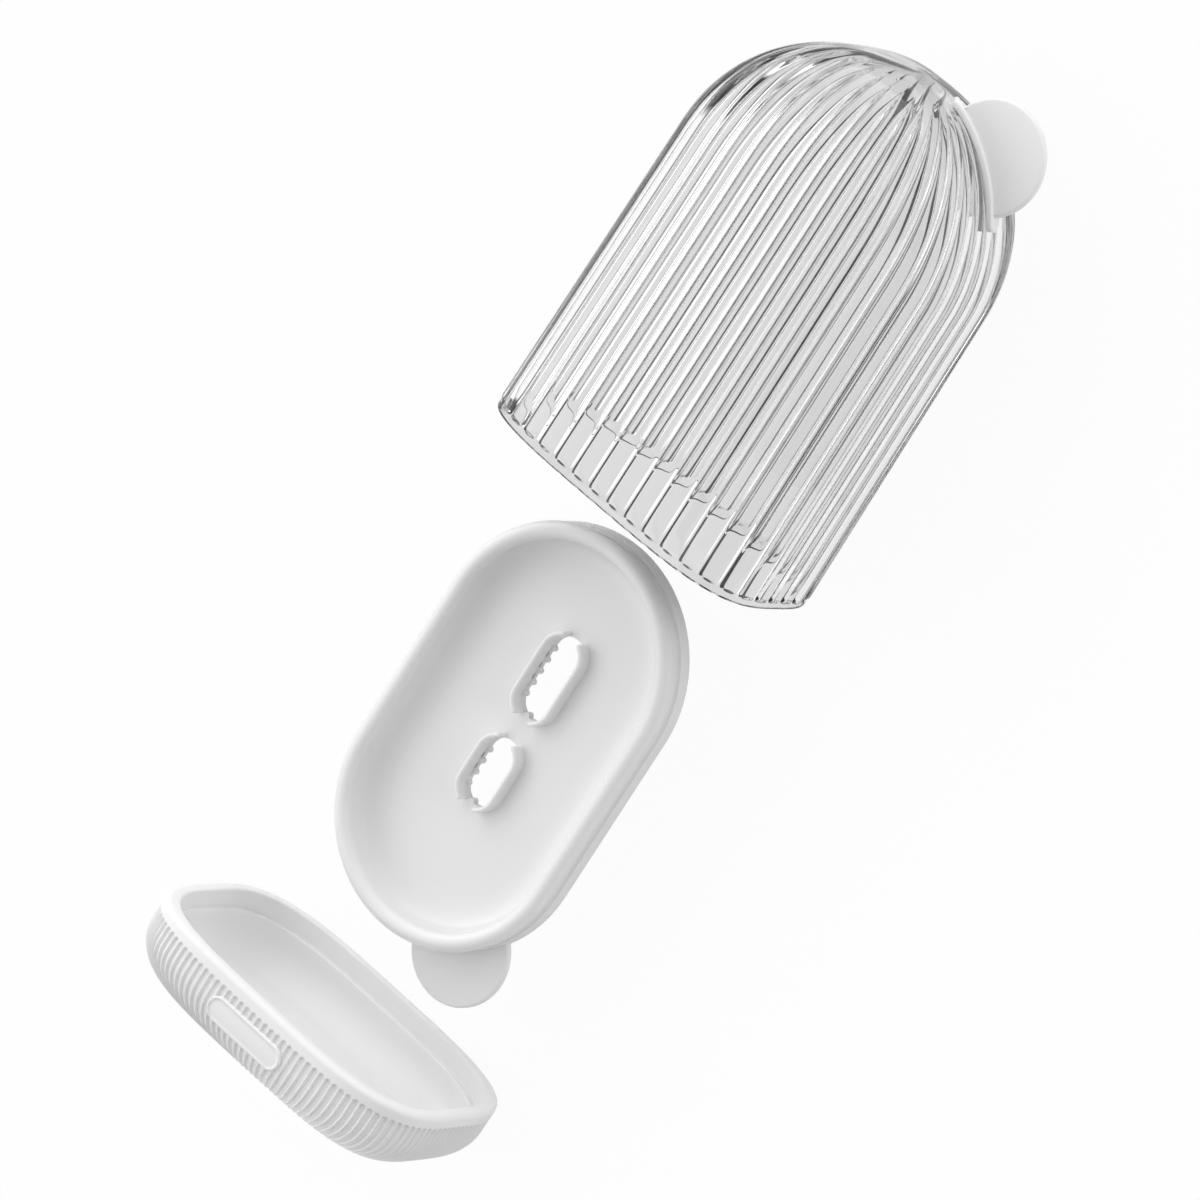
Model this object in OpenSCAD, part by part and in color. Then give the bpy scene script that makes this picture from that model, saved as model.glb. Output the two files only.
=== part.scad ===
// Travel soap box, taken apart and laid out in line on its broad side: a fluted clear cover
// with a finger tab, a dished drain tray with a finger tab, and a ribbed base that the cover
// plugs into. X runs from the base to the dome, Y across the box, Z up. Sizes in millimetres.

/* [Cover] */
// Outside width of the cover at its mouth
cover_w = 92; // [86:0.5:104]
// Outside thickness of the cover at its mouth
cover_d = 61; // [56:0.5:70]
// Height of the cover from its mouth to the top of its dome
cover_h = 133; // [128:1:150]
// Height of the domed end
dome_h = 44; // [38:0.5:50]
// Share of its width that the cover loses from mouth to top
cover_taper = 0.046; // [0:0.002:0.07]
// Wall of the cover under its grooves
cover_wall = 1.1; // [0.8:0.1:1.6]
// Number of flutes round the cover
flutes = 42; // [34:2:50]
// Depth of the grooves between the flutes
flute_depth = 0.9; // [0.5:0.1:1.2]
// Height of the plain band at the cover's mouth
mouth_band = 2.2; // [1.2:0.1:4]

/* [Cover tab] */
// Radius of the cover's finger tab
cover_tab_r = 15; // [12:0.5:17]
// Thickness of the cover's finger tab
cover_tab_t = 2.2; // [1.6:0.1:3]
// Lean of the tab away from the cover's axis
cover_tab_lean = 36.5; // [28:0.5:44]
// Height of the disc's centre above the dome
cover_tab_reach = 2.8; // [1.5:0.1:5]
// Width of the tab's foot across the tab
foot_w = 4.4; // [3.6:0.1:6]
// Thickness of the tab's foot
foot_t = 1.5; // [1:0.1:2]
// Half the arc that the foot follows on the dome, in degrees
foot_arc = 23; // [21:0.5:26]
// Half the arc of the tongue under the foot, in degrees
tongue_arc = 14; // [10:0.5:18]
// Clearance round the tab's tongue and under its foot
tab_gap = 0.1; // [0.05:0.01:0.2]

/* [Tray] */
// Gap from each side of the tray to the cover's outside, with the box shut
tray_side_gap = 10; // [8:0.5:14]
// Length that the tray leaves free of the cover's height
tray_end_gap = 11; // [9:0.5:20]
// Depth of the tray from its rim to its underside
tray_h = 11.8; // [10:0.1:14]
// Thickness of the tray's floor and skirt
tray_wall = 2.3; // [1.8:0.1:2.6]
// Width of the rounded bead round the rim
bead_w = 4.8; // [4:0.1:6]
// Depth of the groove under the bead
neck_depth = 1.2; // [0.6:0.1:1.6]
// Half the height of that groove
neck_r = 1.6; // [1:0.1:2]
// Width of the hollow sweep from the bead to the floor
sweep_w = 11; // [9:0.5:13]

/* [Tray slots] */
// Outside width of a slot's kerb
kerb_w = 13.4; // [11:0.2:15]
// Thickness of a kerb
kerb_t = 1.4; // [1:0.1:1.8]
// Height of a kerb above the floor
kerb_h = 4.2; // [2:0.1:5]
// Break in the kerb at each end of a slot
kerb_break = 4.5; // [2:0.1:6]
// Outside length of the longer kerb
long_kerb = 27.8; // [22:0.2:30]
// Outside length of the shorter kerb
short_kerb = 23; // [18:0.2:26]
// Clear floor between the two kerbs
kerb_space = 5; // [3:0.2:8]
// Distance of the kerbs' shared middle from the tray's centre
slots_shift = 2.4; // [0:0.2:5]
// Pitch of the teeth along a slot
tooth_pitch = 3.6; // [2.8:0.1:5]
// Height of a tooth
tooth_h = 0.9; // [0.5:0.1:1.2]

/* [Tray tab] */
// Radius of the tray's finger tab
tray_tab_r = 14.9; // [12:0.1:17]
// Turn of the tab from the tray's long axis, in degrees
tray_tab_turn = 33; // [20:1:45]

/* [Base] */
// Step from the cover's outside to the base's outside
rim_step = 3.9; // [3.4:0.1:5]
// Height of the base
base_h = 21.3; // [20:0.1:26]
// Radius of the rounded bottom edge
base_edge_r = 13; // [9:0.5:15]
// Thickness of the base's floor
base_floor = 2.8; // [2.2:0.1:4]
// Radius of the fillet inside the base
base_fillet = 9.5; // [7:0.5:10.5]
// Depth of the cover's seat below the mouth
seat_depth = 5.6; // [4:0.1:6.6]
// Width of the ledge that the cover stands on
ledge_w = 1.4; // [1:0.1:2]
// Clearance round the cover in its seat
seat_gap = 0.25; // [0.15:0.05:0.4]
// Height of the smooth band round the mouth
base_band = 3.6; // [2.6:0.1:5]
// Rounding of the base's mouth
base_lip = 1.5; // [0.8:0.1:1.6]
// Number of ribs round the base
ribs = 130; // [90:2:140]
// Depth of the grooves between the ribs
rib_depth = 0.8; // [0.4:0.1:1]

/* [Base cartouche] */
// Length of the bare cartouche
plaque_l = 27; // [20:0.5:34]
// Height of the bare cartouche
plaque_h = 7.4; // [6:0.1:8.4]
// Width of the cartouche's border
plaque_border = 0.9; // [0.6:0.1:1.2]
// Height of the border above the ribs
plaque_raise = 0.3; // [0.2:0.1:0.5]
// Distance of the cartouche's middle below the mouth
plaque_drop = 10; // [9.5:0.1:11]

/* [Layout] */
// Gap from the cover's mouth to the tray
tray_gap = 13.8; // [6:0.2:40]
// Gap from the tray's tab to the base's mouth
base_gap = 15.6; // [8:0.2:50]
// Height of the tray's rim above the cover's axis
tray_lift = 2; // [-4:0.5:8]

/* [Hidden] */

// Squareness of the oval outline, 2 for an ellipse
squareness = 3.5;
// Squareness of the dome across the box's thickness
dome_squareness = 2.8;
// Slope of the dome at which its plain cap starts, in degrees
cap_start = 76;
// Slope of the dome at which its flat top starts, in degrees
dome_end = 85;
// Length over which the flutes rise out of the mouth band
band_step = 0.6;
// Rounding of the tray's bottom edge
skirt_edge = 0.8;
// Distance of the first tooth from the start of the slot's round end
tooth_inset = 1.2;
// Turn of the last tooth round the slot's near end, in degrees
end_tooth_turn = 171;
// Step from the tab's faces to its tongue's, both together
tongue_step = 0.6;
// Slope of the sweep's underside at which the pocket inside the skirt starts, in degrees
pocket_start = 25;
// Arc past the foot over which the cover's tab is cut to the dome, in degrees
cut_margin = 8;
// Facets across a flute
flute_steps = 4;
// Facets round a smooth skin
skin_steps = 56;
// Facets along a dome
dome_steps = 8;
// Facets along a rounded edge
edge_steps = 5;
// Facets round a small disc
disc_steps = 16;
// Amount by which a cut passes the face that it opens
over = 1;
$fn = 64;

// Outside of the base, from the cover's outside
base_w = cover_w + 2 * rim_step;
base_d = cover_d + 2 * rim_step;
// Wall of the cover under the crest of a flute
cover_skin = cover_wall + flute_depth;
// Outside of the tray, from the cover's outside
tray_w = cover_w - 2 * tray_side_gap;
tray_l = cover_h - tray_end_gap;
tray_r = tray_w / 2;
// Top of the tray's floor, below its rim
tray_floor = tray_wall - tray_h;
// Length by which the tray's tab passes the tray's end
tray_tab_out = tray_r * (cos(tray_tab_turn) - 1) + tray_tab_r;

// Places along the box's axis, from the cover's mouth
dome_x = cover_h - dome_h;
tray_x = -tray_gap - tray_l / 2;
base_mouth_x = -tray_gap - tray_l - tray_tab_out - base_gap;
base_x = base_mouth_x - base_h;

// Thickness of the tab's tongue
tongue_w = cover_tab_t - tongue_step;
// Clearance of the tongue at each end, in degrees of arc
tongue_end_gap = tab_gap / (cover_w / 2) * 180 / PI;
// Half the arc over which the disc is cut to the dome
cut_arc = foot_arc + cut_margin;

// Slope of the dome where the cover's tab stands, that point, and the centre of the disc
tab_rise = 90 - cover_tab_lean;
tab_foot = [dome_x + dome_h * sin(tab_rise), -half_w(dome_x + dome_h * sin(tab_rise), 0)];
tab_centre = tab_foot + cover_tab_reach * [sin(tab_rise), -cos(tab_rise)];

// The part's origin: middle of its length, middle of its width, lowest point
end_x = max(cover_h, tab_centre[0] + cover_tab_r);
origin = [(base_x + end_x) / 2, 0, -base_d / 2];

// Radius of a squared oval with half width hw and half thickness hd, at angle t
function oval_r(t, hw, hd) =
    pow(pow(abs(cos(t)) / hw, squareness) + pow(abs(sin(t)) / hd, squareness), -1 / squareness);
function oval_point(t, hw, hd) = oval_r(t, hw, hd) * [cos(t), sin(t)];
// Outward direction of that oval at angle t
function oval_normal(t, hw, hd) =
    let (p = oval_point(t, hw, hd),
         g = [sign(p[0]) * pow(abs(p[0]) / hw, squareness - 1) / hw,
              sign(p[1]) * pow(abs(p[1]) / hd, squareness - 1) / hd])
    g / norm(g);

// Angles that part the cover's outline into equal lengths
fine = 360;
outline = [for (i = [0:fine]) oval_point(i * 360 / fine, cover_w / 2, cover_d / 2)];
function step_to(i) = i < fine ? norm(outline[i + 1] - outline[i]) : 0;
travel = [for (i = 0, s = 0; i <= fine; s = s + step_to(i), i = i + 1) [s, i * 360 / fine]];
function even_angle(f) = lookup(f * travel[fine][0], travel);

// Half width and half thickness of the cover's outside, grown by g, at height x
function shrink(x) = 1 - cover_taper * x / cover_h;
function dome_share(x, g) = max(0, min(1, (x - dome_x) / (dome_h + g)));
function half_w(x, g) =
    (cover_w / 2 * shrink(x) + g) * sqrt(1 - pow(dome_share(x, g), 2));
function half_d(x, g) =
    (cover_d / 2 * shrink(x) + g) * pow(1 - pow(dome_share(x, g), dome_squareness), 1 / dome_squareness);

// Ring of points at height x: n points, pulled in by depth(i) along the outline's normal
function ring(x, hw, hd, pulls) =
    let (n = len(pulls))
    [for (i = [0:n - 1])
        let (t = even_angle(i / n), p = oval_point(t, hw, hd) - pulls[i] * oval_normal(t, hw, hd))
        [x, p[0], p[1]]];
function level(n, pull) = [for (i = [0:n - 1]) pull];

// Pull-in of each point of a fluted ring: sharp grooves with round flutes between them
function fluted(depth) =
    [for (i = [0:flutes * flute_steps - 1])
        let (u = 2 * (i % flute_steps) / flute_steps - 1) depth * u * u];
// Pull-in of each point of a ribbed ring: one crest and one groove to a rib
function ribbed(depth) = [for (i = [0:2 * ribs - 1]) i % 2 == 0 ? 0 : depth];

// Solid through a row of rings that have the same number of points
module loft(rings) {
    n = len(rings[0]);
    m = len(rings);
    sides = [for (k = [0:m - 2], i = [0:n - 1])
        let (a = k * n + i, b = k * n + (i + 1) % n)
        each [[a, a + n, b + n], [a, b + n, b]]];
    low_end = [for (i = [0:n - 1]) i];
    high_end = [for (i = [n - 1:-1:0]) (m - 1) * n + i];
    polyhedron([for (r = rings) each r], concat(sides, [low_end, high_end]), convexity = 12);
}

// Smooth solid of the cover's outside, grown by g
module cover_form(g) {
    dome = [for (k = [0:dome_steps]) dome_x + (dome_h + g) * sin(dome_end * k / dome_steps)];
    loft([for (x = concat([-over], dome)) ring(x, half_w(x, g), half_d(x, g), level(skin_steps, 0))]);
}

// Share of the flutes' depth that is left near the cap
function fade(x) = min(1, 4 * (1 - dome_share(x, 0) / sin(cap_start)));

// Mouth band, then flutes up to the plain cap at the top of the dome
module cover_outside() {
    band = level(flutes * flute_steps, flute_depth / 2);
    dome = [for (k = [0:dome_steps]) dome_x + dome_h * sin(cap_start * k / dome_steps)];
    cap = [for (a = [(cap_start + dome_end) / 2, dome_end]) dome_x + dome_h * sin(a)];
    plain = level(flutes * flute_steps, 0);
    loft(concat(
        [for (x = [0, mouth_band]) ring(x, half_w(x, 0), half_d(x, 0), band)],
        [for (x = concat([mouth_band + band_step], dome))
            ring(x, half_w(x, 0), half_d(x, 0), fluted(flute_depth * fade(x)))],
        [for (x = cap) ring(x, half_w(x, 0), half_d(x, 0), plain)]
    ));
}

// Point over the dome's edge on the tab's side, at height g, for the angle a up the dome
function dome_point(a, g) =
    let (x = dome_x + (dome_h + g) * sin(a)) [x, -half_w(x, g)];

// Strip that follows the dome between two heights, w thick, over an arc either side of the tab
module dome_strip(arc, low, high, w) {
    angles = [for (k = [-dome_steps:dome_steps]) tab_rise + arc * k / dome_steps];
    translate([0, 0, -w / 2]) linear_extrude(w)
        polygon(concat(
            [for (a = angles) dome_point(a, high)],
            [for (k = [len(angles) - 1:-1:0]) dome_point(angles[k], low)]
        ));
}

module cover_shape() {
    difference() {
        cover_outside();
        cover_form(-cover_skin);
        dome_strip(tongue_arc, -cover_skin - over, over, tongue_w + 2 * tab_gap);
    }
}
module cover() {
    color([0.9, 0.92, 0.93, 0.35]) resize([0, 0, 0]) translate(-origin) cover_shape();
}

// Disc with a rounded edge, lying in the plane of the box
module round_disc(r, t) {
    rotate_extrude() {
        square([r - t / 2, t]);
        translate([r - t / 2, t / 2]) circle(t / 2, $fn = disc_steps);
    }
}

// Disc on a foot that follows the dome, with a tongue through the wall, flush inside
module cover_tab_shape() {
    difference() {
        translate([tab_centre[0], tab_centre[1], -cover_tab_t / 2]) round_disc(cover_tab_r, cover_tab_t);
        dome_strip(cut_arc, -cover_tab_r, tab_gap, cover_tab_t + over);
    }
    dome_strip(foot_arc, tab_gap, tab_gap + foot_t, foot_w);
    dome_strip(tongue_arc - tongue_end_gap, -cover_skin, tab_gap + foot_t / 2, tongue_w);
}

module cover_tab() {
    color("white") translate(-origin) cover_tab_shape();
}

// Outline of a slot or a tray: a bar with round ends
module bar(l, w) {
    square([l - w, w], center = true);
    for (s = [-1, 1]) translate([s * (l - w) / 2, 0]) circle(w / 2);
}

// Half section of the tray: x from the middle of an end's arc, y from the rim down
bead_r = bead_w / 2;
sweep_x = tray_r - bead_w - sweep_w;
sweep_fall = -bead_r - tray_floor;
neck_y = -bead_w - neck_r / 3;
pocket_x = tray_r - tray_wall;
function sweep_point(a, grow) =
    [sweep_x + (sweep_w + grow) * cos(a), -bead_r - (sweep_fall + grow) * sin(a)];
sweep = [for (a = [90:-10:0]) sweep_point(a, 0)];
under_sweep = [for (a = [pocket_start:13:90]) sweep_point(a, tray_wall)];
bead = [for (a = [165:-15:0]) [tray_r - bead_r + bead_r * cos(a), -bead_r + bead_r * sin(a)]];
neck = [for (a = [90:-30:-90]) [tray_r - neck_depth * cos(a), neck_y + neck_r * sin(a)]];
skirt = [for (a = [0:30:90])
    [tray_r - skirt_edge + skirt_edge * cos(a), -tray_h + skirt_edge - skirt_edge * sin(a)]];
section = concat(
    [[0, tray_floor]],
    sweep,
    bead,
    neck,
    skirt,
    [[pocket_x, -tray_h], [pocket_x, under_sweep[0][1]]],
    under_sweep,
    [[0, -tray_h]]
);

module tray_dish() {
    span = tray_l - tray_w;
    for (s = [-1, 1])
        translate([s * span / 2, 0, 0]) rotate([0, 0, -90 * s])
            rotate_extrude(angle = 180) polygon(section);
    for (s = [-1, 1])
        translate([-span / 2, 0, 0]) rotate([90, 0, 90])
            linear_extrude(span) mirror([s < 0 ? 1 : 0, 0]) polygon(section);
}

// Kerb of one slot, broken at both ends
module kerb(l) {
    translate([0, 0, tray_floor - over / 2]) linear_extrude(kerb_h + over / 2)
        difference() {
            bar(l, kerb_w);
            bar(l - 2 * kerb_t, kerb_w - 2 * kerb_t);
            square([l + over, kerb_break], center = true);
        }
}

module tooth() {
    circle(tooth_h, $fn = disc_steps);
}

// Opening of one slot, with teeth left along its far side and one at its end
module slot_cut(l) {
    wall_y = kerb_w / 2 - kerb_t;
    arc_x = (l - kerb_w) / 2;
    teeth = round(2 * arc_x / tooth_pitch);
    translate([0, 0, -tray_h - over]) linear_extrude(tray_h + over)
        difference() {
            bar(l - 2 * kerb_t, kerb_w - 2 * kerb_t);
            for (i = [0:teeth])
                translate([arc_x - tooth_inset - i * tooth_pitch, wall_y]) tooth();
            translate([-arc_x, 0]) rotate(end_tooth_turn) translate([wall_y, 0]) tooth();
        }
}

long_slot_x = slots_shift + (kerb_space + long_kerb) / 2;
short_slot_x = slots_shift - (kerb_space + short_kerb) / 2;

// Finger tab level with the tray's floor, centred on the tray's outline
module tray_tab() {
    difference() {
        translate([-(tray_l - tray_w) / 2, 0, -tray_h])
            rotate(tray_tab_turn) translate([-tray_r, 0, 0]) round_disc(tray_tab_r, tray_wall);
        translate([0, 0, -tray_h - over]) linear_extrude(tray_wall + 2 * over)
            bar(tray_l - tray_wall, tray_w - tray_wall);
    }
}

module tray() {
    color("white") translate([tray_x, 0, tray_lift] - origin) {
        difference() {
            tray_dish();
            translate([long_slot_x, 0, 0]) slot_cut(long_kerb);
            translate([short_slot_x, 0, 0]) slot_cut(short_kerb);
        }
        translate([long_slot_x, 0, 0]) kerb(long_kerb);
        translate([short_slot_x, 0, 0]) kerb(short_kerb);
        tray_tab();
    }
}

// Rings of the base's outside: height above the bottom, and inset from the full outline
edge = [for (k = [0:edge_steps]) let (a = 90 * k / edge_steps)
    [base_edge_r * (1 - cos(a)), base_edge_r * (1 - sin(a))]];
lip = [for (a = [0:30:90]) [base_h - base_lip + base_lip * sin(a), base_lip * (1 - cos(a))]];
band_low = base_h - base_band;

function base_ring(z, inset, g, pulls) =
    ring(z, base_w / 2 - inset + g, base_d / 2 - inset + g, pulls);

module base_form(g) {
    n = skin_steps;
    loft([for (p = concat(edge, lip)) base_ring(p[0], p[1], g, level(n, 0))]);
}

// Ribbed bowl under a smooth band with a rounded lip
module base_outside() {
    loft(concat(
        [base_ring(edge[0][0], edge[0][1], 0, level(2 * ribs, 0))],
        [for (k = [1:edge_steps]) base_ring(edge[k][0], edge[k][1], 0, ribbed(rib_depth))],
        [base_ring(band_low + base_lip / 2, 0, 0, ribbed(rib_depth))]
    ));
    loft(concat(
        [base_ring(band_low, 0, 0, level(skin_steps, 0))],
        [for (p = lip) base_ring(p[0], p[1], 0, level(skin_steps, 0))]
    ));
}

// Hollow of the base: the cover's seat, the ledge under it, and a filleted cup
module base_hollow() {
    n = skin_steps;
    seat = rim_step - seat_gap;
    cup = seat + ledge_w;
    ledge_z = base_h - seat_depth;
    fillet = [for (k = [0:edge_steps]) let (a = 90 * k / edge_steps)
        [base_floor + base_fillet * (1 - cos(a)), cup + base_fillet * (1 - sin(a))]];
    loft(concat(
        [for (p = fillet) base_ring(p[0], p[1], 0, level(n, 0))],
        [base_ring(ledge_z, cup, 0, level(n, 0))],
        [base_ring(ledge_z + 0.01, seat, 0, level(n, 0)), base_ring(base_h + over, seat, 0, level(n, 0))]
    ));
}

// Upright bar over the cartouche
module plaque_bar(l, h) {
    translate([base_h - plaque_drop, 0, base_d / 4]) linear_extrude(base_d / 2)
        rotate(90) bar(l, h);
}

module base_shape() {
    difference() {
        union() {
            base_outside();
            intersection() {
                plaque_bar(plaque_l - plaque_border, plaque_h - plaque_border);
                base_form(0);
            }
            intersection() {
                difference() {
                    plaque_bar(plaque_l, plaque_h);
                    plaque_bar(plaque_l - 2 * plaque_border, plaque_h - 2 * plaque_border);
                }
                base_form(plaque_raise);
            }
        }
        base_hollow();
    }
}

module base() {
    color("whitesmoke") resize([0, 0, 0]) translate([base_x, 0, 0] - origin) base_shape();
}

cover();
cover_tab();
tray();
base();
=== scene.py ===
"""Travel soap box, taken apart: a clear fluted cover with a finger tab, a drain tray and a ribbed base.

Lengths are in millimetres: along the box's axis (x, from the cover's mouth), across it (y) and through
its thickness (z). place() turns them into the frame's metres. A part is a pair: points and faces.
"""
import math

import bmesh
import bpy
import numpy as np
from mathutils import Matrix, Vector


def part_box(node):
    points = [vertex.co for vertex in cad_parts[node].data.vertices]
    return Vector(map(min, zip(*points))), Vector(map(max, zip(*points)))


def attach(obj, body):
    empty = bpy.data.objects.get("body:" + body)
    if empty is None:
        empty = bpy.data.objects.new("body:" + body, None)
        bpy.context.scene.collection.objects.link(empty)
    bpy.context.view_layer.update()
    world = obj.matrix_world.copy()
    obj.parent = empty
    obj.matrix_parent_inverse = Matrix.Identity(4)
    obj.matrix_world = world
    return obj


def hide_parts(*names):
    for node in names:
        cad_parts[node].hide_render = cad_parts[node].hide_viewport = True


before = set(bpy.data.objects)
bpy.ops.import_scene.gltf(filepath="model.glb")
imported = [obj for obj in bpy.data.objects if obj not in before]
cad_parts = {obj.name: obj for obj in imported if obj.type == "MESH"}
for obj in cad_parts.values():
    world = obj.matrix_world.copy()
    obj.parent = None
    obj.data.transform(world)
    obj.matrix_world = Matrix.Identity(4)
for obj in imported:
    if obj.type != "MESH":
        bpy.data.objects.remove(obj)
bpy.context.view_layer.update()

MM = 0.001

# Driving sizes, as in the solid model
COVER_W, COVER_D, COVER_H = 92.0, 61.0, 133.0
DOME_H, TAPER = 44.0, 0.046
SQUARE, DOME_SQUARE = 3.5, 2.8
WALL, FLUTE_DEPTH, FLUTES = 1.1, 0.9, 42
MOUTH_BAND, BAND_STEP = 2.2, 0.6
CAP_START = math.radians(76)
TAB_R, TAB_T, TAB_LEAN, TAB_REACH = 15.0, 2.2, math.radians(36.5), 2.8
FOOT_W, FOOT_T, FOOT_ARC = 4.4, 1.5, math.radians(23)
TONGUE_ARC, TONGUE_STEP, TAB_GAP = math.radians(14), 0.6, 0.1
TRAY_W, TRAY_L, TRAY_H, TRAY_WALL = 72.0, 122.0, 11.8, 2.3
BEAD_W, NECK_DEPTH, NECK_R, SWEEP_W, SKIRT_EDGE = 4.8, 1.2, 1.6, 11.0, 0.8
POCKET_START_DEG = 25
KERB_W, KERB_T, KERB_H, KERB_BREAK = 13.4, 1.4, 4.2, 4.5
LONG_KERB, SHORT_KERB, KERB_SPACE, SLOTS_SHIFT = 27.8, 23.0, 5.0, 2.4
TOOTH_PITCH, TOOTH_H, TOOTH_INSET, END_TOOTH = 3.6, 0.9, 1.2, math.radians(171)
TRAY_TAB_R, TRAY_TAB_TURN = 14.9, math.radians(33)
RIM_STEP, BASE_H, EDGE_R, BASE_FLOOR, BASE_FILLET = 3.9, 21.3, 13.0, 2.8, 9.5
SEAT_DEPTH, LEDGE_W, SEAT_GAP, BASE_BAND, BASE_LIP = 5.6, 1.4, 0.25, 3.6, 1.5
RIBS, RIB_DEPTH = 130, 0.8
PLAQUE_L, PLAQUE_H, PLAQUE_BORDER, PLAQUE_RAISE, PLAQUE_DROP = 27.0, 7.4, 0.9, 0.3, 10.0
# Amount by which a cut passes the face that it opens
OVER = 1.0

# Finer forms that only the visible surface has, part by part
# Flutes: share that is round, power of the groove between them, its spread, and their fade on the dome
FLUTE_CROWN, FLUTE_POWER, GROOVE_SPREAD, FLUTE_FADE = 0.3, 6, 0.08, 4
# Slope of the dome's last ring, in degrees, and the rounding of the mouth's edge
DOME_END_DEG, MOUTH_ROUND, MOUTH_STEP = 88.5, 0.35, 0.1
# Cover's tab: rounding of its edge, and the blend of its disc into the foot
TAB_EDGE, TAB_BLEND, BLEND_MOST, STRIP_SHARE = 0.8, 1.1, 0.6, 0.8
# Foot of that tab: shares of its arc for a rounded end and for the even part, and the tip's share
FOOT_NOSE, FOOT_EVEN, TIP_W, TIP_T = 0.14, 0.8, 0.15, 0.4
FOOT_ROUND, ROUND_W, ROUND_T, BEVEL = 0.6, 0.8, 0.6, 0.3
# Tray: squareness of its sweep, flat floor beside the sweep, and the rounding of its tab's edge
SWEEP_SQUARE, FLAT_EDGE, TRAY_TAB_EDGE = 3.0, 3.0, 0.7
# Slots: spacing of their points, rounding of the kerbs, their depth in the floor, and their ends' fall
SLOT_STEP, KERB_ROUND, KERB_ROOT, NOSE_FALL = 0.12, 0.68, 0.5, 0.35
# Ribs: half the flat between two grooves, a groove's soft side, and where the grooves begin
LAND, GROOVE_SOFT, GROOVE_SHARE, RIB_START, RIB_RISE = 0.22, 0.4, 0.35, 0.15, 1.0
# Cartouche: soft side of its border, and the dip of its bare face
PLAQUE_SOFT, PLAQUE_DIP = 0.3, 0.1
# Base's inside: first ring of the smooth band, rings beside the seat's corner, and the roundings
BAND_GAP, CORNER, BESIDE_CORNER = 0.2, 0.05, 0.3
SEAT_ROUND, LEDGE_ROUND, CUP_EDGE = 0.6, 0.4, 1.5

# Points to each flute and rib, and rings along a wall, a dome and the base's edge
FLUTE_STEPS, RIB_STEPS, WALL_ROWS, DOME_ROWS, EDGE_ROWS = 24, 10, 12, 44, 60

# Sizes worked out from those
DOME_X = COVER_H - DOME_H
SKIN = WALL + FLUTE_DEPTH
TAB_RISE = math.pi / 2 - TAB_LEAN
TRAY_R, TRAY_FLOOR, BEAD_R = TRAY_W / 2, TRAY_WALL - TRAY_H, BEAD_W / 2
SPAN = TRAY_L - TRAY_W
SWEEP_X, SWEEP_FALL = TRAY_R - BEAD_W - SWEEP_W, -BEAD_R - TRAY_FLOOR
BASE_W, BASE_D = COVER_W + 2 * RIM_STEP, COVER_D + 2 * RIM_STEP
BAND_LOW, PLAQUE_X = BASE_H - BASE_BAND, BASE_H - PLAQUE_DROP

# Places read from the frame: the cover's mouth and axis, the tray's rim and the base's bottom
cover_lo, cover_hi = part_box("cover")
_, tray_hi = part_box("tray")
base_lo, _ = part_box("base")
MOUTH = Vector((cover_lo.x, (cover_lo.y + cover_hi.y) / 2, (cover_lo.z + cover_hi.z) / 2))
TRAY_AT = Vector((tray_hi.x - TRAY_L / 2 * MM, MOUTH.y, tray_hi.z))
BASE_AT = Vector((base_lo.x, MOUTH.y, MOUTH.z))


# Parts and pieces

def place(points, at):
    """Points in millimetres, as an array in the frame's metres round the place at."""
    return np.asarray(points, float) * MM + np.array(at)


def shift(part, offset):
    """The part, moved by an offset in millimetres."""
    points, faces = part
    return points + offset, faces


def flip(faces):
    """The same faces, seen from their other side."""
    return [tuple(reversed(f)) for f in faces]


def join(*parts):
    """One part from several."""
    points, faces, start = [], [], 0
    for p, f in parts:
        points.append(np.asarray(p))
        faces += [tuple(start + i for i in face) for face in f]
        start += len(p)
    return np.concatenate(points), faces


def loft(rings):
    """Closed part through rings of equally many points, with a cap on the first and the last."""
    rings = np.asarray(rings, float)
    m, n = rings.shape[:2]
    faces = []
    for k in range(m - 1):
        a, b = k * n, (k + 1) * n
        for i in range(n):
            j = (i + 1) % n
            faces.append((a + i, b + i, b + j, a + j))
    faces.append(tuple(range(n)))
    faces.append(tuple((m - 1) * n + i for i in range(n - 1, -1, -1)))
    return rings.reshape(-1, 3), faces


def turn_outward(mesh):
    """Makes every face look away from the inside."""
    form = bmesh.new()
    form.from_mesh(mesh)
    bmesh.ops.recalc_face_normals(form, faces=form.faces)
    form.to_mesh(mesh)
    form.free()


def shade(mesh, sharp):
    """Smooth up to an angle of sharp degrees."""
    mesh.shade_smooth()
    mesh.set_sharp_from_angle(angle=math.radians(sharp))


def new_object(name, points, faces):
    """An object from points in metres and faces."""
    mesh = bpy.data.meshes.new(name)
    mesh.from_pydata([tuple(p) for p in points], [], [tuple(f) for f in faces])
    thing = bpy.data.objects.new(name, mesh)
    bpy.context.scene.collection.objects.link(thing)
    return thing


def new_piece(name, part, at, body, material, replaces=None, sharp=40):
    """A piece of the visual model: the part at a place, riding on a body."""
    points, faces = part
    piece = new_object(name, place(points, at), faces)
    piece.data.validate()
    turn_outward(piece.data)
    shade(piece.data, sharp)
    piece.data.materials.append(material)
    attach(piece, body)
    if replaces:
        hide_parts(replaces)
    return piece


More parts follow.
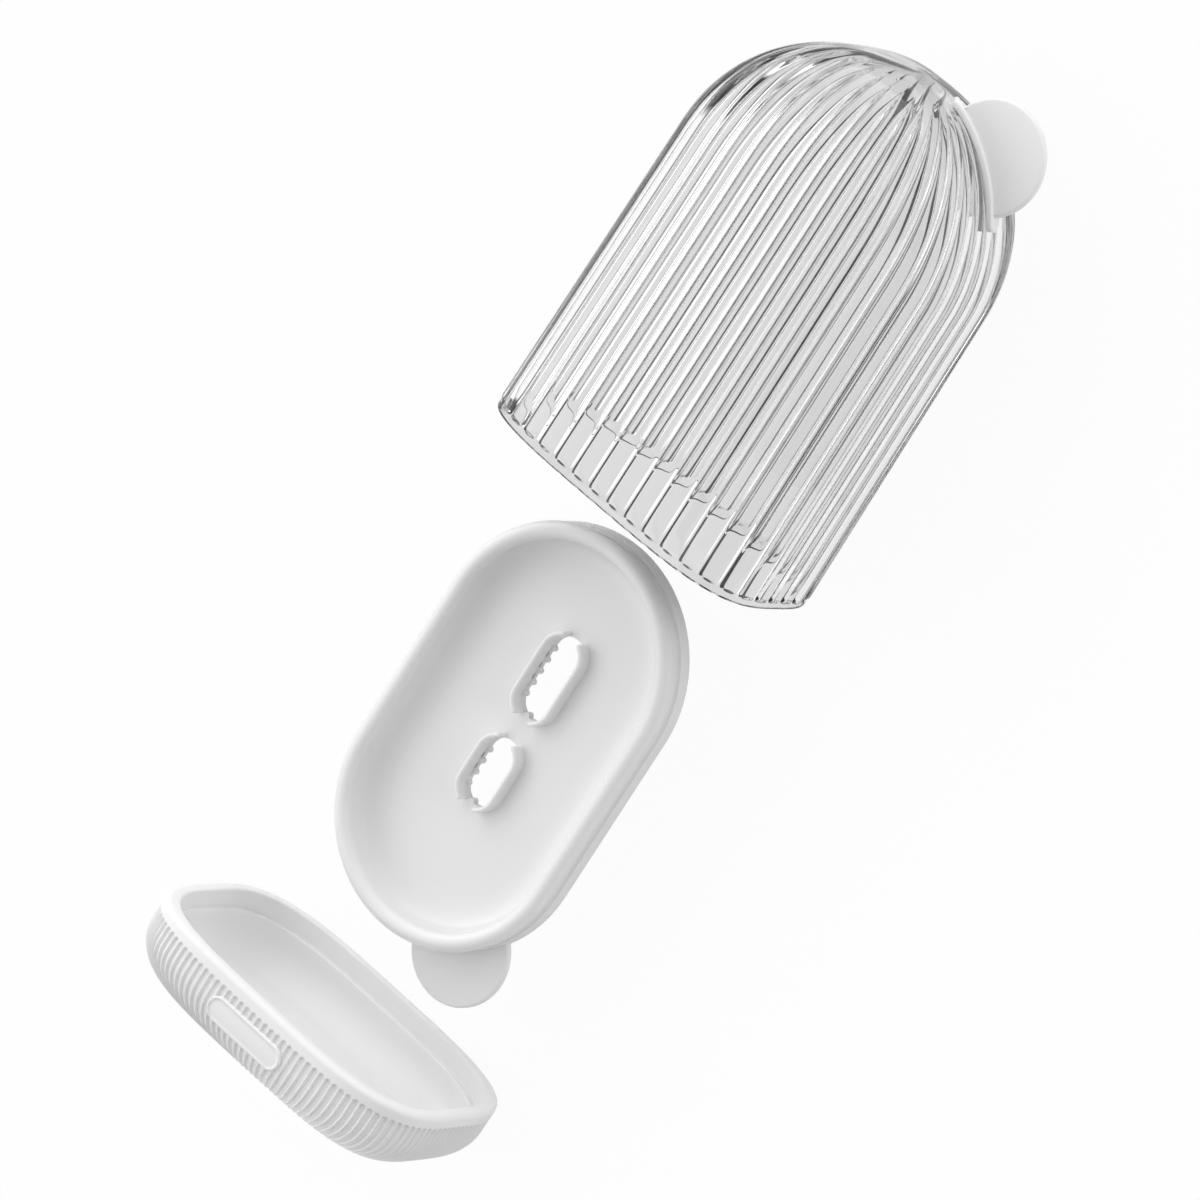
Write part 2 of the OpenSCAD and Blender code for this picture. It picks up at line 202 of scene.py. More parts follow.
def cut(piece, part, at):
    """Takes a closed part out of a piece."""
    points, faces = part
    tool = new_object("cutter", place(points, at), faces)
    change = piece.modifiers.new("cut", "BOOLEAN")
    change.operation, change.solver, change.object = "DIFFERENCE", "EXACT", tool
    seen = piece.evaluated_get(bpy.context.evaluated_depsgraph_get())
    whole, piece.data = piece.data, bpy.data.meshes.new_from_object(seen)
    piece.modifiers.remove(change)
    spent = tool.data
    bpy.data.objects.remove(tool)
    for mesh in (whole, spent):
        bpy.data.meshes.remove(mesh)
    shade(piece.data, 40)


# Curves

def arc(low, high, count):
    """Even angles from low to high degrees, in radians."""
    return np.radians(np.linspace(low, high, count))


def round_points(x, y, rx, ry, angles):
    """Points of an oval arc round (x, y)."""
    return [(x + rx * math.cos(a), y + ry * math.sin(a)) for a in angles]


def smooth_step(v):
    """Smooth rise from 0 to 1, held at both ends."""
    v = np.clip(v, 0, 1)
    return v * v * (3 - 2 * v)


def travel_along(path):
    """Length of a path up to each of its points."""
    return np.concatenate([[0], np.cumsum(np.linalg.norm(np.diff(path, axis=0), axis=1))])


def ways_along(path):
    """Direction of a path at each of its points."""
    way = np.gradient(path, axis=0)
    return way / np.linalg.norm(way, axis=1, keepdims=True)


# The squared oval that the cover and the base share

def oval(turn, hw, hd):
    """Points of the oval at the angles turn, and its outward directions."""
    c, s = np.cos(turn), np.sin(turn)
    r = ((np.abs(c) / hw) ** SQUARE + (np.abs(s) / hd) ** SQUARE) ** (-1 / SQUARE)
    p = np.stack([r * c, r * s], 1)
    half = np.array([hw, hd])
    g = np.sign(p) * (np.abs(p) / half) ** (SQUARE - 1) / half
    return p, g / np.linalg.norm(g, axis=1, keepdims=True)


def even_turns(count):
    """Angles that part the cover's outline into equal lengths."""
    turn = np.linspace(0, 2 * math.pi, 2881)
    outline, _ = oval(turn, COVER_W / 2, COVER_D / 2)
    travel = travel_along(outline)
    return np.interp(np.arange(count) / count * travel[-1], travel, turn)


def oval_ring(x, hw, hd, turns, pull=0.0):
    """Ring at height x of the oval with half sizes hw and hd, pulled in at each point."""
    p, n = oval(turns, hw, hd)
    p = p - np.reshape(pull, (-1, 1)) * n
    return np.column_stack([np.full(len(turns), x), p])


# Cover

def dome_share(x, grow):
    """Share of the dome's height that lies below x."""
    return np.clip((x - DOME_X) / (DOME_H + grow), 0, 1)


def half_w(x, grow=0.0):
    """Half width of the cover's outside, grown all round, at height x."""
    return (COVER_W / 2 * (1 - TAPER * x / COVER_H) + grow) * np.sqrt(1 - dome_share(x, grow) ** 2)


def half_d(x, grow=0.0):
    """Half thickness of the same."""
    share = 1 - dome_share(x, grow) ** DOME_SQUARE
    return (COVER_D / 2 * (1 - TAPER * x / COVER_H) + grow) * share ** (1 / DOME_SQUARE)


def flute_profile():
    """Pull-in of each point round the cover: broad flutes between grooves with a small radius."""
    u = 2 * np.arange(FLUTE_STEPS) / FLUTE_STEPS - 1
    spread = np.linspace(-GROOVE_SPREAD, GROOVE_SPREAD, 9)
    near = (u[:, None] + spread + 1) % 2 - 1
    pull = FLUTE_CROWN * near ** 2 + (1 - FLUTE_CROWN) * np.abs(near) ** FLUTE_POWER
    return np.tile(pull.mean(axis=1) * FLUTE_DEPTH, FLUTES)


def mouth_lift(x):
    """Pull-in of the mouth's rounded edge at height x."""
    return MOUTH_ROUND - math.sqrt(max(0, MOUTH_ROUND ** 2 - (MOUTH_ROUND - x) ** 2))


def cover_outside():
    """Heights and pull-in of the outside: mouth, band, fluted wall, and dome with its plain cap."""
    flute, band = flute_profile(), FLUTE_DEPTH / 2
    rows = [(x, band + mouth_lift(x)) for x in (0.0, MOUTH_STEP, MOUTH_ROUND)]
    for x in np.linspace(BAND_STEP, MOUTH_BAND + 2 * BAND_STEP, WALL_ROWS):
        rise = smooth_step((x - MOUTH_BAND + BAND_STEP) / (3 * BAND_STEP))
        rows.append((x, band + (flute - band) * rise))
    rows += [(x, flute) for x in np.linspace(MOUTH_BAND + 3 * BAND_STEP, DOME_X, WALL_ROWS)]
    for slope in arc(0, DOME_END_DEG, DOME_ROWS + 1)[1:]:
        share = math.sin(slope) / math.sin(CAP_START)
        left = min(1.0, FLUTE_FADE * (1 - share)) if slope < CAP_START else 0.0
        rows.append((DOME_X + DOME_H * math.sin(slope), flute * smooth_step(left)))
    return rows


def cover_inside():
    """Heights and growth of the smooth inside, from the dome down to the mouth."""
    rows = [(DOME_X + (DOME_H - SKIN) * math.sin(a), -SKIN) for a in arc(DOME_END_DEG, 0, DOME_ROWS + 1)]
    rows += [(x, -SKIN) for x in np.linspace(DOME_X, MOUTH_ROUND, WALL_ROWS)[1:]]
    return rows + [(x, -SKIN + mouth_lift(x)) for x in (MOUTH_STEP, 0.0)]


def make_cover(material):
    turns = even_turns(FLUTES * FLUTE_STEPS)
    outside = [oval_ring(x, half_w(x), half_d(x), turns, pull) for x, pull in cover_outside()]
    inside = [oval_ring(x, half_w(x, grow), half_d(x, grow), turns) for x, grow in cover_inside()]
    points, faces = loft(outside[::-1] + inside[::-1])
    new_piece("cover_clear", (points, flip(faces)), MOUTH, "cover", material,
              replaces="cover", sharp=60)


# Cover tab

def dome_point(angle, g):
    """Point at height g over the dome's edge on the tab's side, in the tab's plane."""
    x = DOME_X + (DOME_H + g) * math.sin(angle)
    return np.array([x, -half_w(x, g)])


def tab_outline():
    """Two paths along the dome: the plate's foot, and its edge, where the disc blends into the foot."""
    centre = dome_point(TAB_RISE, 0.0) + TAB_REACH * np.array([math.sin(TAB_RISE), -math.cos(TAB_RISE)])
    strip = FOOT_T * STRIP_SHARE
    inner, outer = [], []
    steps = np.linspace(-1, 1, 181)
    for s in steps:
        angle = TAB_RISE + FOOT_ARC * s
        low, high = dome_point(angle, TAB_GAP), dome_point(angle, TAB_GAP + FOOT_T)
        ray = (high - low) / np.linalg.norm(high - low)
        to_centre = centre - low
        along = to_centre @ ray
        off = np.linalg.norm(to_centre - along * ray)
        disc = along + math.sqrt(max(0.0, TAB_R ** 2 - off ** 2)) if off < TAB_R else 0.0
        reach = TAB_BLEND * np.logaddexp(disc / TAB_BLEND, strip / TAB_BLEND)
        inner.append(low)
        outer.append(low + min(reach, max(disc, strip) + BLEND_MOST) * ray)
    travel = travel_along(outer)
    even = np.linspace(0, travel[-1], len(steps))
    return [np.column_stack([np.interp(even, travel, part) for part in np.transpose(path)])
            for path in (inner, outer)]


def tab_plate():
    """Disc with a rounded edge, cut to the dome."""
    inner, outer = tab_outline()
    way = ways_along(outer)
    normals = np.column_stack([way[:, 1], -way[:, 0]])
    rim = [(TAB_EDGE * (1 - math.sin(a)), TAB_T / 2 - TAB_EDGE + TAB_EDGE * math.cos(a))
           for a in arc(0, 90, 6)]
    rings = []
    for low, high, normal in zip(inner, outer, normals):
        row = [(*low, TAB_T / 2)]
        row += [(*(high - inset * normal), z) for inset, z in rim]
        rings.append(row + [(x, y, -z) for x, y, z in reversed(row)])
    return loft(rings)


def tab_foot():
    """Strip along the dome under the disc, with rounded ends."""
    ends = FOOT_NOSE * (1 - np.cos(np.radians([4, 20, 40, 60, 90])))
    rings = []
    for s in np.concatenate([ends - 1, np.linspace(-FOOT_EVEN, FOOT_EVEN, 60), 1 - ends[::-1]]):
        full = math.sqrt(max(0.0, 1 - (max(0.0, abs(s) - 1 + FOOT_NOSE) / FOOT_NOSE) ** 2))
        half, high = FOOT_W / 2 * (TIP_W + (1 - TIP_W) * full), FOOT_T * (TIP_T + (1 - TIP_T) * full)
        r = min(FOOT_ROUND, half * ROUND_W, high * ROUND_T)
        side = [(0, half), (high - r, half), (high - BEVEL * r, half - BEVEL * r), (high, half - r)]
        section = [(g, -z) for g, z in side] + side[::-1]
        rings.append([(*dome_point(TAB_RISE + FOOT_ARC * s, TAB_GAP + g), z) for g, z in section])
    return loft(rings)


def tab_tongue():
    """Strip that stands in the cover's wall, flush with its inside."""
    half, high = (TAB_T - TONGUE_STEP) / 2, TAB_GAP + FOOT_T / 2
    reach = TONGUE_ARC - TAB_GAP / (COVER_W / 2)
    section = [(-SKIN, -half), (high, -half), (high, half), (-SKIN, half)]
    return loft([[(*dome_point(TAB_RISE + reach * s, g), z) for g, z in section]
                 for s in np.linspace(-1, 1, 25)])


def make_cover_tab(material):
    part = join(tab_plate(), tab_foot(), tab_tongue())
    new_piece("cover_tab_white", part, MOUTH, "cover", material, replaces="cover_tab")


# Tray

def stadium(length, width, per_end=48):
    """Outline of a bar with round ends, anticlockwise."""
    r, run = width / 2, (length - width) / 2
    right = round_points(run, 0, r, r, np.linspace(-math.pi / 2, math.pi / 2, per_end + 1))
    return np.array(right + [(-x, -y) for x, y in right])


def sweep_point(angle, grow=0.0):
    """Point of the hollow between bead and floor: a squared quarter oval, or its underside grown by grow."""
    power = 2 / SWEEP_SQUARE
    return (SWEEP_X + (SWEEP_W + grow) * abs(math.cos(angle)) ** power,
            -BEAD_R - (SWEEP_FALL + grow) * abs(math.sin(angle)) ** power)


def tray_section():
    """Half section from the middle of the floor's top, over the bead and the skirt, to the underside."""
    pocket_x = TRAY_R - TRAY_WALL
    under = [sweep_point(a, TRAY_WALL) for a in arc(POCKET_START_DEG, 90, 12)]
    points = [(SWEEP_X - FLAT_EDGE, TRAY_FLOOR)]
    points += [sweep_point(a) for a in arc(90, 2, 40)]
    points += round_points(TRAY_R - BEAD_R, -BEAD_R, BEAD_R, BEAD_R, arc(172, 0, 24))
    points += round_points(TRAY_R, -BEAD_W - NECK_R / 3, -NECK_DEPTH, NECK_R, arc(84, -84, 15))
    points += round_points(TRAY_R - SKIRT_EDGE, -TRAY_H + SKIRT_EDGE, SKIRT_EDGE, -SKIRT_EDGE, arc(0, 90, 8))
    points += [(pocket_x, -TRAY_H), (pocket_x, under[0][1])]
    return points + under + [(SWEEP_X - FLAT_EDGE, -TRAY_H)]


def tray_prism(outline):
    """Closed part over an outline, which passes the tray's underside and floor."""
    points, faces = loft([[(x, y, z) for x, y in outline] for z in (-TRAY_H - OVER, TRAY_FLOOR + OVER)])
    return points, flip(faces)


def slot_outline(length):
    """Outline of a slot: round ends, teeth along the far side and one at the near end."""
    run, wall = (length - KERB_W) / 2, KERB_W / 2 - KERB_T
    outline = stadium(length - 2 * KERB_T, KERB_W - 2 * KERB_T, 40)
    dense = []
    for a, b in zip(outline, np.roll(outline, -1, axis=0)):
        count = max(1, int(np.linalg.norm(b - a) / SLOT_STEP))
        dense += [a + (b - a) * k / count for k in range(count)]
    dense = np.array(dense)
    teeth = [(run - TOOTH_INSET - i * TOOTH_PITCH, wall) for i in range(round(2 * run / TOOTH_PITCH) + 1)]
    teeth += round_points(-run, 0, wall, wall, [END_TOOTH])
    for centre in teeth:
        away = dense - centre
        middle = np.array([np.clip(centre[0], -run, run), 0.0])
        inward = (middle - centre) / np.linalg.norm(middle - centre)
        depth = np.sqrt(np.maximum(0, TOOTH_H ** 2 - (away @ np.array([-inward[1], inward[0]])) ** 2))
        lift = np.maximum(0, depth - away @ inward)
        dense = dense + np.where(np.linalg.norm(away, axis=1) < TOOTH_H, lift, 0)[:, None] * inward
    return dense


def kerb_path(length):
    """Middle of half a kerb, from break to break, with its noses: points, directions and relative widths."""
    run, mid = (length - KERB_W) / 2, (KERB_W - KERB_T) / 2
    start = math.asin((KERB_BREAK + KERB_T) / 2 / mid)
    end = round_points(run, 0, mid, mid, np.linspace(start, math.pi / 2, 24))
    path = end + [(x, mid) for x in np.linspace(run, -run, 14)[1:-1]]
    path = np.array(path + [(-x, y) for x, y in reversed(end)])
    way = ways_along(path)
    nose = arc(5, 65, 4)
    back = KERB_T / 2 * np.cos(nose)[:, None]
    widths = np.concatenate([np.sin(nose), np.ones(len(path)), np.sin(nose[::-1])])
    path = np.concatenate([path[0] - back * way[0], path, path[-1] + back[::-1] * way[-1]])
    way = np.pad(way, ((len(nose), len(nose)), (0, 0)), mode="edge")
    return path, way, widths


def kerb_half(length, side):
    """Half of a kerb, with a round top and round ends, on one side of its slot."""
    path, way, widths = kerb_path(length)
    across = np.column_stack([-way[:, 1], way[:, 0]])
    half, top = KERB_T / 2, TRAY_FLOOR + KERB_H
    profile = [(-half, TRAY_FLOOR - KERB_ROOT)]
    profile += round_points(-half + KERB_ROUND, top - KERB_ROUND, -KERB_ROUND, KERB_ROUND,
                            np.radians([0, 22, 45, 68, 90]))
    profile += [(-c, z) for c, z in reversed(profile)]
    rings = [[(*(p + c * width * n), z - NOSE_FALL * (1 - width)) for c, z in profile]
             for p, n, width in zip(path, across, widths)]
    points, faces = loft(rings)
    points[:, 1] *= side
    return points, faces if side > 0 else flip(faces)


def round_disc(radius, thick, edge):
    """Disc from z = 0 to thick with a rounded edge."""
    turn = np.linspace(0, 2 * math.pi, 160, endpoint=False)
    quarter = arc(0, 90, 7)
    profile = [(radius - edge + edge * math.sin(a), edge - edge * math.cos(a)) for a in quarter]
    profile += round_points(radius - edge, thick - edge, edge, edge, quarter)
    rings = [np.column_stack([r * np.cos(turn), r * np.sin(turn), np.full(len(turn), z)])
             for r, z in profile]
    points, faces = loft(rings)
    return points, flip(faces)


def make_tray(material):
    rings = [[(x, y, z) for x, y in stadium(SPAN + 2 * r, 2 * r)] for r, z in tray_section()]
    dish = new_piece("tray_white", loft(rings), TRAY_AT, "tray", material, replaces="tray")
    kerbs = []
    for length, x in ((LONG_KERB, SLOTS_SHIFT + (KERB_SPACE + LONG_KERB) / 2),
                      (SHORT_KERB, SLOTS_SHIFT - (KERB_SPACE + SHORT_KERB) / 2)):
        cut(dish, shift(tray_prism(slot_outline(length)), (x, 0, 0)), TRAY_AT)
        kerbs += [shift(kerb_half(length, side), (x, 0, 0)) for side in (1, -1)]
    new_piece("tray_kerbs", join(*kerbs), TRAY_AT, "tray", material)
    disc = shift(round_disc(TRAY_TAB_R, TRAY_WALL, TRAY_TAB_EDGE),
                 (-SPAN / 2 - TRAY_R * math.cos(TRAY_TAB_TURN), -TRAY_R * math.sin(TRAY_TAB_TURN), -TRAY_H))
    tab = new_piece("tray_tab", disc, TRAY_AT, "tray", material)
    cut(tab, tray_prism(stadium(TRAY_L - TRAY_WALL, TRAY_W - TRAY_WALL)), TRAY_AT)


# Base

def base_outside():
    """Heights and insets of the outside, from the bottom over its rounded edge to the smooth band."""
    rows = [(EDGE_R * (1 - math.cos(a)), EDGE_R * (1 - math.sin(a))) for a in arc(0, 90, EDGE_ROWS + 1)]
    return rows + [(x, 0.0) for x in np.linspace(EDGE_R, BAND_LOW, 20)[1:]]


def base_inside():
    """Heights and insets from the smooth band over the lip, the seat and the ledge to the inner floor."""
    seat, ledge = RIM_STEP - SEAT_GAP, BASE_H - SEAT_DEPTH
    cup = seat + LEDGE_W
    rows = [(x, 0.0) for x in np.linspace(BAND_LOW + BAND_GAP, BASE_H - BASE_LIP, 5)]
    rows += [(BASE_H - BASE_LIP + BASE_LIP * math.sin(a), BASE_LIP * (1 - math.cos(a)))
             for a in arc(10, 90, 10)]
    rows += round_points(BASE_H - SEAT_ROUND, seat - SEAT_ROUND, SEAT_ROUND, SEAT_ROUND, arc(0, 90, 7))
    rows += [(ledge + step, seat) for step in (BESIDE_CORNER, CORNER)]
    rows += [(ledge, seat + step) for step in (CORNER, BESIDE_CORNER)]
    rows += [(ledge, cup - LEDGE_ROUND)]
    rows += round_points(ledge - LEDGE_ROUND, cup - LEDGE_ROUND, LEDGE_ROUND, LEDGE_ROUND,
                         np.radians([15, 45, 75, 90]))
    rows += [(x, cup) for x in np.linspace(ledge - 2 * LEDGE_ROUND, BASE_FLOOR + BASE_FILLET, 4)]
    rows += [(BASE_FLOOR + BASE_FILLET * (1 - math.cos(a)), cup + BASE_FILLET * (1 - math.sin(a)))
             for a in arc(90, 0, 25)[1:]]
    return rows + [(BASE_FLOOR, cup + BASE_FILLET + CUP_EDGE)]


def rib_pull(x, ring, pitch):
    """Pull-in of a ring at height x: grooves between the ribs, up to the smooth band."""
    from_groove = np.abs(np.arange(len(ring)) % RIB_STEPS / RIB_STEPS - 0.5) * pitch
    groove_half = pitch / 2 - LAND
    grooves_top = BAND_LOW - groove_half
    reach = np.hypot(from_groove, max(0.0, x - grooves_top))
    depth = RIB_DEPTH * smooth_step((groove_half - reach) / GROOVE_SOFT + GROOVE_SHARE)
    depth *= smooth_step((x - RIB_START) / RIB_RISE)
    # The cartouche is on the upper side: a raised border round a bare face
    upper = ring[:, 2] > 0
    run, half = (PLAQUE_L - PLAQUE_H) / 2, PLAQUE_H / 2
    away = np.hypot(np.maximum(0, np.abs(ring[:, 1]) - run), x - PLAQUE_X)
    border = smooth_step((half - away) / PLAQUE_SOFT)
    border *= smooth_step((away - half + PLAQUE_BORDER) / PLAQUE_SOFT)
    face = smooth_step((half - PLAQUE_BORDER - away) / PLAQUE_SOFT)
    raised = PLAQUE_RAISE * border - PLAQUE_DIP * face
    return np.where(upper & (away < half), 0.0, depth) - np.where(upper, raised, 0.0)


def make_base(material):
    turns = even_turns(RIBS * RIB_STEPS)
    outline, _ = oval(turns, BASE_W / 2, BASE_D / 2)
    pitch = travel_along(outline)[-1] / RIBS
    rings = []
    for x, inset in base_outside():
        half = BASE_W / 2 - inset, BASE_D / 2 - inset
        flat = oval_ring(x, *half, turns)
        rings.append(oval_ring(x, *half, turns, rib_pull(x, flat, pitch)))
    rings += [oval_ring(x, BASE_W / 2 - inset, BASE_D / 2 - inset, turns) for x, inset in base_inside()]
    points, faces = loft(rings)
    new_piece("base_white", (points, flip(faces)), BASE_AT, "base", material,
              replaces="base", sharp=50)


# Materials

def link_nodes(tree, *pairs):
    for source, target in pairs:
        tree.links.new(source, target)


def shader(name, **values):
    material = bpy.data.materials.new(name)
    material.use_nodes = True
    bsdf = material.node_tree.nodes["Principled BSDF"]
    for key, value in values.items():
        bsdf.inputs[key.replace("_", " ")].default_value = value
    return material, material.node_tree, bsdf


def add_bump(tree, bsdf, scale, distance, detail=2.0):
    """Fine unevenness of a moulded face, in the object's own coordinates."""
    spot, noise, bump = (tree.nodes.new(kind) for kind in
                         ("ShaderNodeTexCoord", "ShaderNodeTexNoise", "ShaderNodeBump"))
    noise.inputs["Scale"].default_value = scale
    noise.inputs["Detail"].default_value = detail
    bump.inputs["Distance"].default_value = distance
    link_nodes(tree, (spot.outputs["Object"], noise.inputs["Vector"]),
               (noise.outputs["Fac"], bump.inputs["Height"]),
               (bump.outputs["Normal"], bsdf.inputs["Normal"]))
    return noise


def clear_plastic():
    material, tree, bsdf = shader(
        "clear_plastic", Base_Color=(0.95, 0.95, 0.95, 1), Roughness=0.01, IOR=1.5, Transmission_Weight=1.0)
    add_bump(tree, bsdf, scale=60, distance=0.00002)
    return material


def white_plastic(name, grey, smoothest, roughest, scale, distance):
    """White moulding whose roughness varies from spot to spot."""
    material, tree, bsdf = shader(name, Base_Color=(grey, grey, grey, 1), IOR=1.48)
    noise = add_bump(tree, bsdf, scale, distance, detail=3.0)
    spread = tree.nodes.new("ShaderNodeMapRange")
    spread.inputs["To Min"].default_value = smoothest
    spread.inputs["To Max"].default_value = roughest
    link_nodes(tree, (noise.outputs["Fac"], spread.inputs["Value"]),
               (spread.outputs["Result"], bsdf.inputs["Roughness"]))
    return material


# Camera fitted to the photograph: a long lens that looks down on the parts, turned on its side

AZIMUTH, ELEVATION, ROLL = math.radians(35.71), math.radians(59.57), math.radians(-89.07)
LENS, SENSOR, NEAR, FAR = 210, 36, 0.05, 20
CAMERA_AT = MOUTH + Vector((502.5, -741.6, 1549.3)) * MM
LEVEL_WAY = Vector((math.cos(AZIMUTH), math.sin(AZIMUTH), 0))
TO_CAMERA = Vector((math.sin(AZIMUTH) * math.cos(ELEVATION), -math.cos(AZIMUTH) * math.cos(ELEVATION),
                    math.sin(ELEVATION)))
PHOTO_RIGHT = LEVEL_WAY * math.cos(ROLL) + TO_CAMERA.cross(LEVEL_WAY) * math.sin(ROLL)
PHOTO_UP = TO_CAMERA.cross(PHOTO_RIGHT)


def make_camera():
    data = bpy.data.cameras.new("camera")
    data.lens, data.sensor_width = LENS, SENSOR
    data.clip_start, data.clip_end = NEAR, FAR
    camera = bpy.data.objects.new("camera", data)
    matrix = camera.matrix_world
    for i, axis in enumerate((PHOTO_RIGHT, PHOTO_UP, TO_CAMERA)):
        for j in range(3):
            matrix[j][i] = axis[j]
    matrix.translation = CAMERA_AT
    camera.matrix_world = matrix
    bpy.context.scene.collection.objects.link(camera)
    bpy.context.scene.camera = camera


# Studio

# Each list holds (place, grey) stops over the part of a direction along a way, from -1 to 1. The tent
# lights the parts, from behind them to the camera, and its tilt makes it brighter towards TILT_WAY.
# Only gloss shows the strip. The cards, from left to right, and the flags, from foot to top of the
# photograph, are what the clear wall bends into view.
TENT = [(-1.0, 0.6), (-0.4, 0.7), (-0.1, 1.6), (0.1, 2.1), (0.3, 1.75), (0.5, 1.3), (0.7, 0.95),
        (0.87, 0.72), (1.0, 0.65)]
TILT = [(-1.0, 0.2), (0.0, 0.8), (1.0, 1.2)]
STRIP = [(0.9, 0.0), (0.94, 1.0)]
CARDS = [(-1.0, 1.0), (-0.72, 1.0), (-0.69, 0.08), (-0.64, 0.08), (-0.61, 1.7), (-0.48, 1.3), (-0.42, 2.1),
         (-0.28, 2.1), (-0.23, 0.8), (0.19, 0.76), (0.22, 0.02), (0.38, 0.02), (0.41, 1.0), (1.0, 1.0)]
FLAGS = [(-1.0, 0.8), (0.46, 1.0), (0.52, 0.02), (0.76, 0.02), (0.82, 1.0), (1.0, 1.0)]
TILT_WAY, STRIP_WAY = (0.676, 0.715, 0.109), (0.22, 0.97, 0.1)
WHITE = (1, 1, 1, 1)
FLOOR_HALF, FLOOR_DROP, FLOOR_GREY, FLOOR_GLOW = 4.0, 0.0005, 0.9, 0.94
LAMP_TARGET, LAMP_DISTANCE = Vector((0, 0, 0.03)), 1.6


def is_ray(tree, kind):
    """1 for rays of one kind, otherwise 0."""
    return tree.nodes.new("ShaderNodeLightPath").outputs[f"Is {kind} Ray"]


def make_floor():
    """Floor, white to the camera with a faint shadow, and see-through for what the clear wall bends."""
    s = FLOOR_HALF
    floor = new_object("floor", [(-s, -s, 0), (s, -s, 0), (s, s, 0), (-s, s, 0)], [(0, 1, 2, 3)])
    floor.location.z = -FLOOR_DROP
    material = bpy.data.materials.new("floor")
    material.use_nodes = True
    tree = material.node_tree
    tree.nodes.clear()
    out, white, bent = (tree.nodes.new(kind) for kind in
                        ("ShaderNodeOutputMaterial", "ShaderNodeMixShader", "ShaderNodeMixShader"))
    matt, glow, clear = (tree.nodes.new(kind) for kind in
                         ("ShaderNodeBsdfDiffuse", "ShaderNodeEmission", "ShaderNodeBsdfTransparent"))
    matt.inputs["Color"].default_value = (FLOOR_GREY, FLOOR_GREY, FLOOR_GREY, 1)
    share = tree.nodes.new("ShaderNodeMath")
    share.operation = "MULTIPLY"
    share.inputs[1].default_value = FLOOR_GLOW
    link_nodes(tree, (is_ray(tree, "Camera"), share.inputs[0]), (share.outputs[0], white.inputs["Fac"]),
               (matt.outputs[0], white.inputs[1]), (glow.outputs[0], white.inputs[2]),
               (is_ray(tree, "Transmission"), bent.inputs["Fac"]),
               (white.outputs[0], bent.inputs[1]), (clear.outputs[0], bent.inputs[2]),
               (bent.outputs[0], out.inputs["Surface"]))
    floor.data.materials.append(material)


def ramp_over(tree, way, stops):
    """Grey that changes with the part of a ray's direction along way, from -1 to 1."""
    spot, part, whole, ramp = (tree.nodes.new(kind) for kind in
                               ("ShaderNodeTexCoord", "ShaderNodeVectorMath", "ShaderNodeMapRange",
                                "ShaderNodeValToRGB"))
    part.operation = "DOT_PRODUCT"
    part.inputs[1].default_value = way
    whole.inputs["From Min"].default_value = -1
    link_nodes(tree, (spot.outputs["Generated"], part.inputs[0]),
               (part.outputs["Value"], whole.inputs["Value"]),
               (whole.outputs["Result"], ramp.inputs["Fac"]))
    steps = ramp.color_ramp
    while len(steps.elements) < len(stops):
        steps.elements.new(0.5)
    for element, (where, grey) in zip(steps.elements, stops):
        element.position = (where + 1) / 2
        element.color = (grey, grey, grey, 1)
    return ramp.outputs["Color"]


def mix_colours(tree, kind, first, second=None, share=None):
    """Two colours multiplied, added or mixed by share. Without a second colour, that one is white."""
    mix = tree.nodes.new("ShaderNodeMix")
    mix.data_type, mix.blend_type = "RGBA", kind
    mix.inputs["Factor"].default_value = 1
    mix.inputs[7].default_value = WHITE
    tree.links.new(first, mix.inputs[6])
    if second:
        tree.links.new(second, mix.inputs[7])
    if share:
        tree.links.new(share, mix.inputs["Factor"])
    return mix.outputs[2]


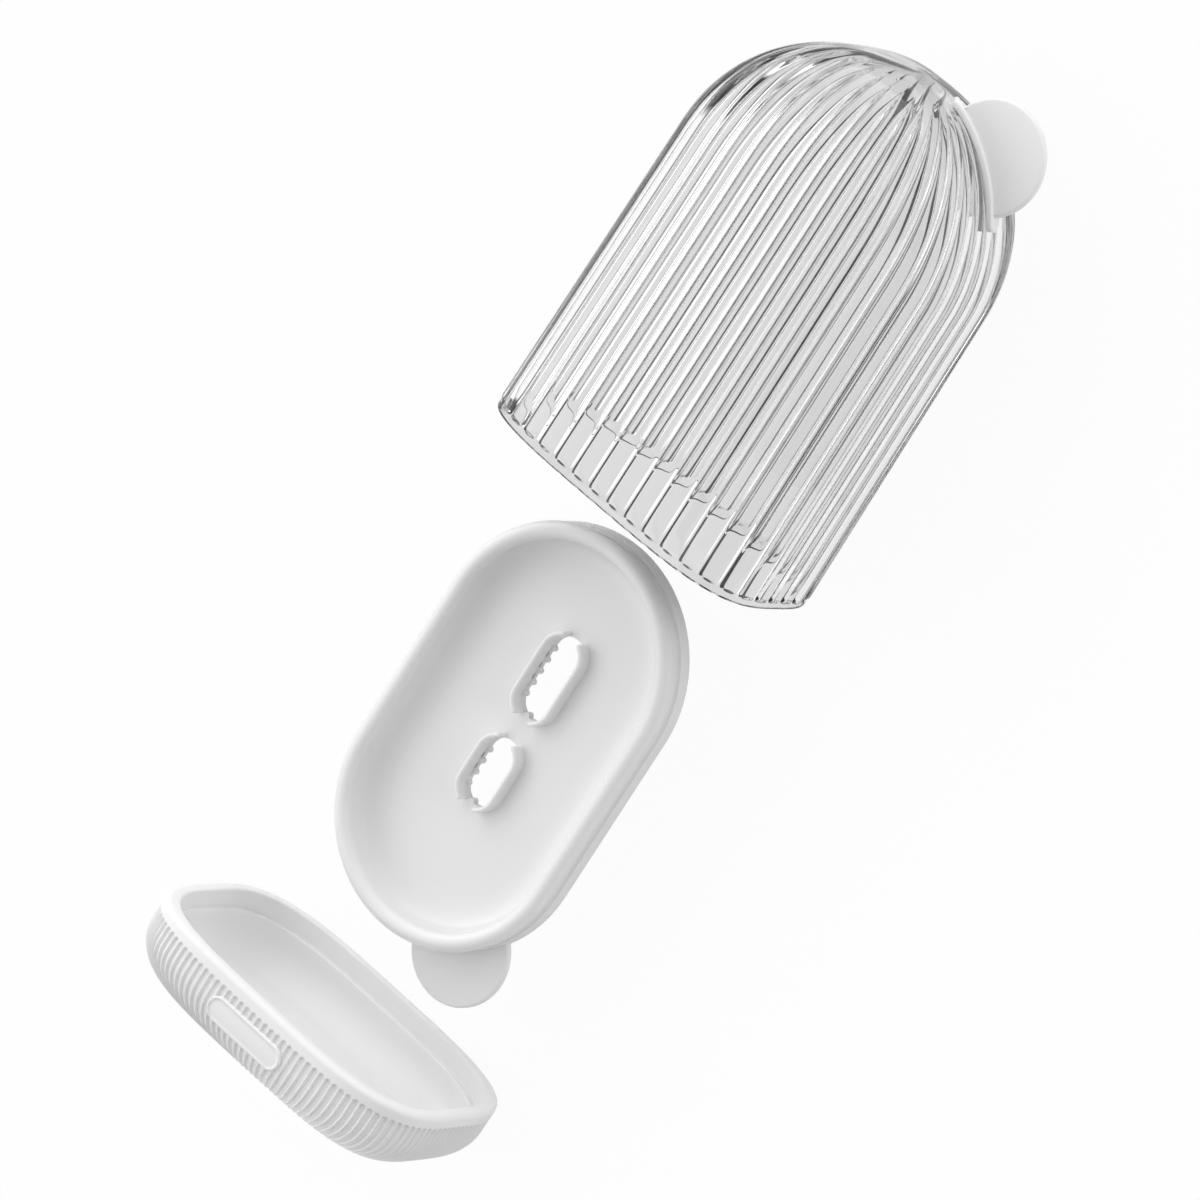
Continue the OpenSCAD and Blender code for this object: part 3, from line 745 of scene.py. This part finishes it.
def make_world():
    """White to the camera, a tent round the parts, and cards and flags seen through the clear wall."""
    world = bpy.data.worlds.new("studio")
    bpy.context.scene.world = world
    world.use_nodes = True
    tree = world.node_tree
    tree.nodes.clear()
    out, light = tree.nodes.new("ShaderNodeOutputWorld"), tree.nodes.new("ShaderNodeBackground")
    tent = mix_colours(tree, "MULTIPLY", ramp_over(tree, TO_CAMERA, TENT), ramp_over(tree, TILT_WAY, TILT))
    strip = mix_colours(tree, "MULTIPLY", is_ray(tree, "Glossy"), ramp_over(tree, STRIP_WAY, STRIP))
    cards, flags = ramp_over(tree, PHOTO_RIGHT, CARDS), ramp_over(tree, PHOTO_UP, FLAGS)
    through = mix_colours(tree, "MULTIPLY", cards, flags)
    lit = mix_colours(tree, "ADD", tent, strip)
    seen = mix_colours(tree, "MIX", lit, through, is_ray(tree, "Transmission"))
    seen = mix_colours(tree, "MIX", seen, share=is_ray(tree, "Camera"))
    link_nodes(tree, (seen, light.inputs["Color"]), (light.outputs[0], out.inputs["Surface"]))


def add_lamp(name, way, size, power):
    """Round lamp that shines from one way, seen neither in gloss nor through the clear wall."""
    data = bpy.data.lights.new(name, "AREA")
    data.shape, data.size, data.energy = "DISK", size, power
    lamp = bpy.data.objects.new(name, data)
    way = Vector(way).normalized()
    lamp.location = LAMP_TARGET + way * LAMP_DISTANCE
    lamp.rotation_mode = "QUATERNION"
    lamp.rotation_quaternion = way.to_track_quat("Z", "Y")
    lamp.visible_glossy = lamp.visible_transmission = False
    bpy.context.scene.collection.objects.link(lamp)


make_camera()
clear = clear_plastic()
satin = white_plastic("satin_plastic", 0.83, smoothest=0.38, roughest=0.5, scale=2200, distance=0.000008)
gloss = white_plastic("gloss_plastic", 0.8, smoothest=0.2, roughest=0.27, scale=1800, distance=0.000001)
make_cover(clear)
make_cover_tab(satin)
make_tray(gloss)
make_base(satin)
make_floor()
make_world()
add_lamp("key", way=(0.5545, 0.6727, 0.537), size=0.8, power=0.8)
add_lamp("side", way=(0.753, -1.02, 0.35), size=0.9, power=4.6)
bpy.context.scene.view_settings.view_transform = "Standard"
